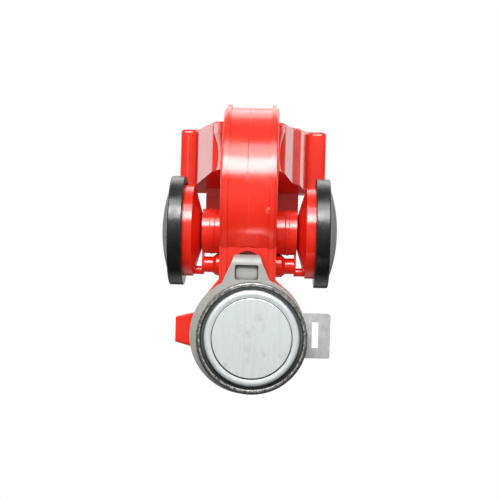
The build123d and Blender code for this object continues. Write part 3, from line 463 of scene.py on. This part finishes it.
made_of("box_crease", crease_points, crease_faces, highlight_edge_plastic, smooth=False)

# Side covers: thin red plates welded over the open sides of the drum. They come from
# the same moulding shop and have the same gloss.
dress(red_plastic, "side_cover_left", "side_cover_right")

# Diaphragm housings: red cups with a neck, a web and an air tube. They are mouldings in
# the same glossy plastic, and their necks are welded to the drum.
dress(red_plastic, "diaphragm_housing_left", "diaphragm_housing_right")

# Diaphragms: thin discs stamped from spring steel, with the faint marks of rolling.
# Each is clamped over the nozzle in its cup, out of sight.
STEEL = (0.56, 0.57, 0.58, 1)
STEEL_DULL = (0.48, 0.49, 0.50, 1)


def bare_metal(name, colour, dull, rough, stretch=(1, 1, 1), grain=500.0, bump=0.15):
    """Plated or bare metal with drawn grain and clouded patches."""
    material, tree, shader = finish_named(name, metallic=1.0)
    where = own_place(tree)
    cloud = spread_in(tree, noise_in(tree, where, 60.0, detail=4), 0.35, 0.7)
    tree.links.new(mixed_in(tree, cloud, colour, dull), shader.inputs["Base Color"])
    lines = noise_in(tree, where, grain, detail=4, stretch=stretch)
    tree.links.new(spread_in(tree, lines, 0.3, 0.7, *rough), shader.inputs["Roughness"])
    grained = raised_in(tree, lines, strength=bump, distance=0.0001)
    tree.links.new(grained.outputs[0], shader.inputs["Normal"])
    return material


spring_steel = bare_metal("spring_steel", STEEL, STEEL_DULL, (0.18, 0.3))
dress(spring_steel, "diaphragm_left", "diaphragm_right")

# Clamp rings: black satin plastic rings that close over the cups' rims and hold the
# diaphragms. Their faces are turned slightly duller by handling.
BLACK = (0.009, 0.0095, 0.0095, 1)
BLACK_DEEP = (0.013, 0.013, 0.013, 1)
BLACK_RUBBED = (0.09, 0.09, 0.09, 1)
BLACK_CREASE = (0.002, 0.002, 0.002, 1)
black_plastic = plastic("black_ring_plastic", BLACK, BLACK_DEEP, BLACK_RUBBED, BLACK_CREASE,
                        (0.18, 0.36), ripple=0.22, grain=1100.0, wear=0.8)
dress(black_plastic, "clamp_ring_left", "clamp_ring_right")

# End covers: shallow domes moulded in matt grey plastic and pressed into the clamp
# rings. The matt skin throws back very little light.
GREY = (0.10, 0.104, 0.104, 1)
GREY_DEEP = (0.08, 0.083, 0.083, 1)
GREY_RUBBED = (0.32, 0.33, 0.33, 1)
GREY_CREASE = (0.01, 0.01, 0.01, 1)
GREY_SHINE = 0.16
grey_plastic = plastic("grey_cover_plastic", GREY, GREY_DEEP, GREY_RUBBED, GREY_CREASE,
                       (0.42, 0.55), grain=1400.0, wear=0.8)
cover_shader = grey_plastic.node_tree.nodes["Principled BSDF"]
cover_shader.inputs["Specular IOR Level"].default_value = GREY_SHINE
dress(grey_plastic, "end_cover_left", "end_cover_right")

# Compressor housing: the red drum-shaped moulding behind the motor, with its air snout.
# It is the same glossy plastic as the horn halves, screwed to the pump body's flange.
dress(red_plastic, "compressor_housing")

# Pump body: a die casting in light alloy, tumbled to an even grey skin. It has the
# mounting lug with the slot, and the flange that the motor can is crimped to.
CAST = (0.375, 0.366, 0.345, 1)
CAST_DULL = (0.325, 0.32, 0.30, 1)
CAST_RUBBED = (0.56, 0.56, 0.54, 1)
CAST_DUST_AND_SHADE = (0.06, 0.058, 0.052, 1)

# The slot's floor, in metres from the slot's centre: its half width and half height
# with a soft edge, how deep it lies, and where the painted shadow begins at its sides and top.
SLOT_HALF_WIDE = (0.00605, 0.00615)
SLOT_HALF_TALL = (0.00385, 0.00395)
SLOT_DEEP = (0.0012, 0.0018)
SLOT_SHADOW_SIDE = (0.0050, 0.0057)
SLOT_SHADOW_TOP = (0.0016, 0.0036)
SLOT_SHADOW = (0.012, 0.012, 0.011, 1)


def slot_shade(tree, where, colour):
    """Painted shadow along the sides and the top of the slot's floor."""
    place = apart_in(tree, where)
    aside = joined(tree, "ABSOLUTE", place["X"])
    edges = joined(tree, "MAXIMUM", spread_in(tree, aside, *SLOT_SHADOW_SIDE),
                   spread_in(tree, place["Z"], *SLOT_SHADOW_TOP))
    within = joined(tree, "MULTIPLY", spread_in(tree, aside, *SLOT_HALF_WIDE, 1.0, 0.0),
                    spread_in(tree, place["Y"], *SLOT_DEEP))
    tall = joined(tree, "ABSOLUTE", place["Z"])
    within = joined(tree, "MULTIPLY", within,
                    spread_in(tree, tall, *SLOT_HALF_TALL, 0.92, 0.0))
    return mixed_in(tree, joined(tree, "MULTIPLY", within, edges), colour, SLOT_SHADOW)


def casting(name, colour, dull, slotted=False):
    """Tumbled die casting: pebbled skin, paler corners, dark dust and painted shade in the
    creases.
    """
    material, tree, shader = finish_named(name, metallic=0.25)
    where = own_place(tree)
    cloud = spread_in(tree, noise_in(tree, where, 120.0, detail=5), 0.32, 0.7)
    body = mixed_in(tree, cloud, colour, dull)
    rub = place_group(tree, rubbing, Amount=0.8)
    dusk = place_group(tree, creasing, Reach=0.0030, Amount=1.0)
    worn = mixed_in(tree, rub.outputs["Mask"], body, CAST_RUBBED)
    if slotted:
        worn = slot_shade(tree, where, worn)
    # Dust and painted shade in the creases, from ambient occlusion.
    tree.links.new(mixed_in(tree, dusk.outputs["Mask"], worn, CAST_DUST_AND_SHADE),
                   shader.inputs["Base Color"])
    skin = noise_in(tree, where, 2600.0, detail=4)
    tree.links.new(spread_in(tree, skin, 0.3, 0.7, 0.5, 0.66), shader.inputs["Roughness"])
    pebbled = raised_in(tree, skin, strength=0.35, distance=0.00012)
    tree.links.new(pebbled.outputs[0], shader.inputs["Normal"])
    return material


dress(casting("cast_alloy", CAST, CAST_DULL, slotted=True), "pump_body")

# Motor can: deep-drawn steel, zinc plated outside. Its rolled rim is scuffed dark, with
# painted shade inside the roll and a bright broken line round it that is a painted glint.
# Radii are in metres from the motor's axis.
MOTOR_AXIS = (0.0037, 0, -0.0319)
RIM_INSIDE = (0.0254, 0.0257)
RIM_GLINT_RADIUS = 0.0259
RIM_GLINT_HALF = 0.0002
RIM_WOBBLE = 0.0001
RIM_BACK_Y = (-0.0165, -0.0155)
SCUFFED = (0.13, 0.125, 0.115, 1)
SCUFFED_PALE = (0.30, 0.295, 0.28, 1)
RIM_SHADE = (0.10, 0.102, 0.098, 1)
RIM_GLINT = (0.80, 0.80, 0.77, 1)
CAN_SIDE = (0.62, 0.65, 0.65, 1)


def from_axis(tree, where):
    """Distance of the surface from the motor's axis."""
    apart = tree.nodes.new("ShaderNodeVectorMath")
    apart.operation = "SUBTRACT"
    apart.inputs[1].default_value = MOTOR_AXIS
    flat = tree.nodes.new("ShaderNodeVectorMath")
    flat.operation = "MULTIPLY"
    flat.inputs[1].default_value = (1, 0, 1)
    length = tree.nodes.new("ShaderNodeVectorMath")
    length.operation = "LENGTH"
    tree.links.new(where, apart.inputs[0])
    tree.links.new(apart.outputs[0], flat.inputs[0])
    tree.links.new(flat.outputs[0], length.inputs[0])
    return length.outputs["Value"]


def ring_at(tree, radius, middle, half):
    """1 within half a width of a circle about the motor's axis, 0 elsewhere."""
    ring = joined(tree, "COMPARE", radius, middle)
    ring.node.inputs[2].default_value = half
    return ring


rolled_rim, tree, shader = finish_named("rolled_rim", metallic=0.85)
where = own_place(tree)
scuffs = noise_in(tree, where, 900.0, detail=4)
wobble = spread_in(tree, scuffs, 0.3, 0.7, -RIM_WOBBLE, RIM_WOBBLE)
radius = joined(tree, "ADD", from_axis(tree, where), wobble)
scuffed = mixed_in(tree, spread_in(tree, scuffs, 0.4, 0.62), SCUFFED, SCUFFED_PALE)
# Painted shade inside the roll.
inside = spread_in(tree, radius, *RIM_INSIDE, 1.0, 0.0)
shaded = mixed_in(tree, inside, scuffed, RIM_SHADE)
# Painted glint: a bright broken line round the roll.
broken_glint = joined(tree, "MULTIPLY", ring_at(tree, radius, RIM_GLINT_RADIUS, RIM_GLINT_HALF),
                spread_in(tree, noise_in(tree, where, 620.0, detail=3), 0.42, 0.56))
glinted = mixed_in(tree, broken_glint, shaded, RIM_GLINT)
behind = spread_in(tree, apart_in(tree, where)["Y"], *RIM_BACK_Y)
tree.links.new(mixed_in(tree, behind, glinted, CAN_SIDE), shader.inputs["Base Color"])
grit = noise_in(tree, where, 1500.0, detail=4)
tree.links.new(spread_in(tree, grit, 0.3, 0.7, 0.24, 0.46), shader.inputs["Roughness"])
gritty = raised_in(tree, grit, strength=0.5, distance=0.00016)
tree.links.new(gritty.outputs[0], shader.inputs["Normal"])
dress(rolled_rim, "motor_can")

# Motor end plate: a stamped steel disc, bright zinc plated and held in by the can's
# rolled rim. It has faint upright streaks and cloudy blots, a dark line in the groove round
# its flat middle that is painted heavier towards the bottom as shade, a dark band where it
# drops into the rim that is painted darker towards the bottom as shade, and painted shade
# in its creases. Sizes are in metres.
ZINC = (0.80, 0.86, 0.86, 1)
ZINC_STREAK = (0.66, 0.715, 0.71, 1)
ZINC_BLOT = (0.62, 0.675, 0.66, 1)
BAND_SHADE_LOW = (0.15, 0.16, 0.155, 1)
BAND_SHADE_HIGH = (0.56, 0.58, 0.57, 1)
GROOVE_LINE_SHADE = (0.06, 0.07, 0.07, 1)
PLATE_CREASE = (0.04, 0.045, 0.045, 1)
PLATE_DROP = (0.0229, 0.0236)
BAND_SHADE_Z = (-0.054, -0.030)
GROOVE_RADIUS = 0.0198
GROOVE_HALF = 0.00035
GROOVE_Z = (-0.046, -0.022)
SWELL_RADII = (0.0201, 0.0237)
SWELL_HEIGHT = 0.00019
MIDDLE_EDGE = (0.0193, 0.0199)
MIDDLE_PROUD = 0.00016
end_zinc, tree, shader = finish_named("streaked_zinc", metallic=0.55)
where = own_place(tree)
radius = from_axis(tree, where)
height = apart_in(tree, where)["Z"]
streaks = noise_in(tree, where, 520.0, detail=5, stretch=(1, 1, 0.09))
blots = noise_in(tree, where, 190.0, detail=6)
plated = mixed_in(tree, spread_in(tree, streaks, 0.44, 0.68), ZINC, ZINC_STREAK)
clouded = mixed_in(tree, spread_in(tree, blots, 0.57, 0.74), plated, ZINC_BLOT)
drop = spread_in(tree, radius, *PLATE_DROP)
# Painted shade in the plate's creases, from ambient occlusion.
dusk = place_group(tree, creasing, Reach=0.0009, Amount=0.85)
# Painted shade: the band into the rim turns darker towards the bottom.
band_shade = mixed_in(tree, spread_in(tree, height, *BAND_SHADE_Z), BAND_SHADE_LOW, BAND_SHADE_HIGH)
# Painted shade: a dark line in the groove, heavier towards the bottom.
groove_line_shade = joined(tree, "MULTIPLY", ring_at(tree, radius, GROOVE_RADIUS, GROOVE_HALF),
                      spread_in(tree, height, *GROOVE_Z, 0.95, 0.1))
grooved = mixed_in(tree, groove_line_shade, clouded, GROOVE_LINE_SHADE)
dropped = mixed_in(tree, drop, grooved, band_shade)
tree.links.new(spread_in(tree, drop, 0, 1, 0.55, 1.0), shader.inputs["Metallic"])
tree.links.new(mixed_in(tree, dusk.outputs["Mask"], dropped, PLATE_CREASE),
               shader.inputs["Base Color"])
tree.links.new(spread_in(tree, streaks, 0.3, 0.7, 0.34, 0.48), shader.inputs["Roughness"])
swell = joined(tree, "SINE", spread_in(tree, radius, *SWELL_RADII, 0.0, pi))
proud = spread_in(tree, radius, *MIDDLE_EDGE, MIDDLE_PROUD, 0.0)
swell = joined(tree, "ADD", joined(tree, "MULTIPLY", swell, SWELL_HEIGHT), proud)
swollen = raised_in(tree, swell, strength=1.0, distance=1.0)
fine = raised_in(tree, streaks, strength=0.10, distance=0.0001)
tree.links.new(swollen.outputs[0], fine.inputs["Normal"])
tree.links.new(fine.outputs[0], shader.inputs["Normal"])
dress(end_zinc, "motor_end_plate")

# Bushes, magnets and the rotor inside the can: oiled bronze bushes pressed into the end
# plate and the pump body, ferrite magnets bonded to the can, and a steel shaft with its
# stamped core, enamelled copper windings and a copper commutator pressed on it.
oiled_bronze = bare_metal("oiled_bronze", colour=(0.40, 0.27, 0.14, 1),
                          dull=(0.30, 0.20, 0.11, 1), rough=(0.4, 0.6))
dress(oiled_bronze, "front_bush", "rear_bush")
ferrite = casting("ferrite", colour=(0.05, 0.05, 0.05, 1), dull=(0.07, 0.07, 0.07, 1))
dress(ferrite, "magnet_left", "magnet_right")
dress(spring_steel, "motor_shaft", "armature_core")
enamelled = bare_metal("enamelled_copper", colour=(0.62, 0.22, 0.08, 1),
                       dull=(0.5, 0.17, 0.07, 1), rough=(0.2, 0.35))
dress(enamelled, "armature_windings")
bright_copper = bare_metal("commutator_copper", colour=(0.75, 0.40, 0.25, 1),
                           dull=(0.6, 0.3, 0.2, 1), rough=(0.2, 0.3))
dress(bright_copper, "commutator")

# Pump rotor, vanes and brush gear: a rotor and a brush holder moulded in filled nylon,
# vanes and brushes pressed from carbon, steel brush springs and brass terminals. The
# vanes slide in the rotor's slots, and the brushes slide in the holder.
nylon = plastic("natural_nylon", colour=(0.62, 0.60, 0.52, 1), deep=(0.56, 0.54, 0.46, 1),
                rubbed=(0.7, 0.68, 0.6, 1), crease=(0.30, 0.28, 0.22, 1), gloss=(0.35, 0.45))
carbon = plastic("pressed_carbon", colour=(0.03, 0.03, 0.03, 1), deep=(0.04, 0.04, 0.04, 1),
                 rubbed=(0.1, 0.1, 0.1, 1), crease=(0.01, 0.01, 0.01, 1), gloss=(0.5, 0.6))
brass = bare_metal("terminal_brass", colour=(0.72, 0.52, 0.22, 1), dull=(0.6, 0.43, 0.2, 1),
                   rough=(0.2, 0.3))
dress(nylon, "pump_rotor", "brush_holder")
dress(carbon, "pump_vane_1", "pump_vane_2", "pump_vane_3", "pump_vane_4")
dress(carbon, "brush_left", "brush_right")
dress(spring_steel, "brush_spring_left", "brush_spring_right")
dress(brass, "terminal_left", "terminal_right")

# Pump gasket and pump cover: a thin rubber gasket, and a die-cast cover in the same
# alloy as the body. The cover's screws squeeze the gasket between them.
rubber = plastic("gasket_rubber", colour=(0.02, 0.02, 0.02, 1), deep=(0.025, 0.025, 0.025, 1),
                 rubbed=(0.05, 0.05, 0.05, 1), crease=(0.01, 0.01, 0.01, 1), gloss=(0.6, 0.7))
dress(rubber, "pump_gasket")
dress(casting("cover_alloy", CAST, CAST_DULL), "pump_cover")

# Bracket plate and screws: a slotted plate cut from sheet steel with an upright grain,
# and steel screws, all zinc plated. The housing screws hold the plate and the housing
# to the pump body's flange.
zinc_plate = bare_metal("zinc_plate", colour=(0.74, 0.74, 0.73, 1), dull=(0.68, 0.68, 0.67, 1),
                        rough=(0.4, 0.52), stretch=(1, 1, 0.3), grain=900.0, bump=0.1)
dress(zinc_plate, "bracket_plate", "pump_cover_screws", "housing_screws")

# Intake filter: a plug of grey open-cell foam, cut from sheet and pushed into the snout
# of the compressor housing.
foam = plastic("filter_foam", colour=(0.08, 0.08, 0.085, 1), deep=(0.11, 0.11, 0.115, 1),
               rubbed=(0.1, 0.1, 0.1, 1), crease=(0.03, 0.03, 0.03, 1), gloss=(0.9, 1.0),
               ripple=0.8, grain=3000.0)
dress(foam, "intake_filter")

# Studio: a white room behind the part, dim in front and dark below, one wide soft lamp
# high in front and a pale panel on each side behind. The room looks plain white where
# the eye meets it directly, lights the part evenly, and shows its bands only in gloss.
ROOM_WHITE = 1.0
ROOM_LIGHT = 0.46
world = bpy.data.worlds.new("white_room")
bpy.context.scene.world = world
world.use_nodes = True
room = world.node_tree
backdrop = room.nodes["Background"]
backdrop.inputs["Color"].default_value = (1, 1, 1, 1)
facing = apart_in(room, room.nodes.new("ShaderNodeTexCoord").outputs["Generated"])
in_front = spread_in(room, facing["Z"], -0.50, 0.0, 0.02, 0.42)
to_back = joined(room, "MAXIMUM", spread_in(room, facing["Z"], -0.16, 0.03, 0.08, 1.0),
                 spread_in(room, facing["Z"], -0.72, -0.45, 0.6, 0.0))
behind = spread_in(room, facing["Y"], 0.12, 0.48)
mirrored = joined(room, "ADD", joined(room, "MULTIPLY", behind, to_back),
                  joined(room, "MULTIPLY", joined(room, "SUBTRACT", 1.0, behind), in_front))
path = room.nodes.new("ShaderNodeLightPath")
direct = joined(room, "MAXIMUM", path.outputs["Is Camera Ray"],
                path.outputs["Is Transmission Ray"])
soft = spread_in(room, path.outputs["Is Glossy Ray"], 0, 1, ROOM_LIGHT, mirrored)
room.links.new(spread_in(room, direct, 0, 1, soft, ROOM_WHITE), backdrop.inputs["Strength"])


def soft_lamp(name, place, target, wide, high, watts, lights=True, mirrors=True):
    """Rectangular soft lamp aimed at a point; a panel only shows in glossy surfaces."""
    data = bpy.data.lights.new(name, "AREA")
    data.shape = "RECTANGLE"
    data.size, data.size_y, data.energy = wide, high, watts
    lamp = bpy.data.objects.new(name, data)
    lamp.location = place
    lamp.rotation_euler = (Vector(target) - Vector(place)).to_track_quat("-Z", "Y").to_euler()
    lamp.visible_camera = False
    lamp.visible_diffuse = lights
    lamp.visible_glossy = mirrors
    bpy.context.scene.collection.objects.link(lamp)


soft_lamp("key_lamp", (-0.05, -0.59, 0.52), (0, 0.03, 0.03), wide=0.34, high=0.26, watts=4.7)
soft_lamp("key_halo", (-0.055, -0.56, 0.655), (0, 0.03, 0.03), wide=0.50, high=0.66, watts=8.0,
          lights=False)
soft_lamp("front_fill", (0.05, -0.90, -0.10), (0, 0.03, 0.0), wide=0.60, high=0.60, watts=1.4,
          mirrors=False)
soft_lamp("left_panel", (-0.83, 0.67, 0.14), (-0.028, 0.07, 0.065), wide=0.46, high=0.80,
          watts=3.6, lights=False)
soft_lamp("right_panel", (0.83, 0.67, 0.14), (0.028, 0.07, 0.065), wide=0.46, high=0.80,
          watts=3.3, lights=False)
soft_lamp("top_panel", (0, 0.62, 0.70), (0, 0.05, 0.08), wide=0.90, high=0.45, watts=2.4,
          lights=False)

# Camera: a long lens a little over half a metre in front of the lug and nearly level
# with it, turned slightly to the left and leaning a little.
LENS_MM = 80.35
SENSOR_MM = 36.0
CAMERA_PLACE = (0.0128, -0.565, 0.0114)
CAMERA_TURN = (radians(90), radians(-1.45), radians(1.15))
lens = bpy.data.cameras.new("camera")
lens.lens, lens.sensor_width = LENS_MM, SENSOR_MM
camera = bpy.data.objects.new("camera", lens)
camera.location = CAMERA_PLACE
camera.rotation_euler = CAMERA_TURN
bpy.context.scene.collection.objects.link(camera)
bpy.context.scene.camera = camera
bpy.context.scene.view_settings.view_transform = "Standard"
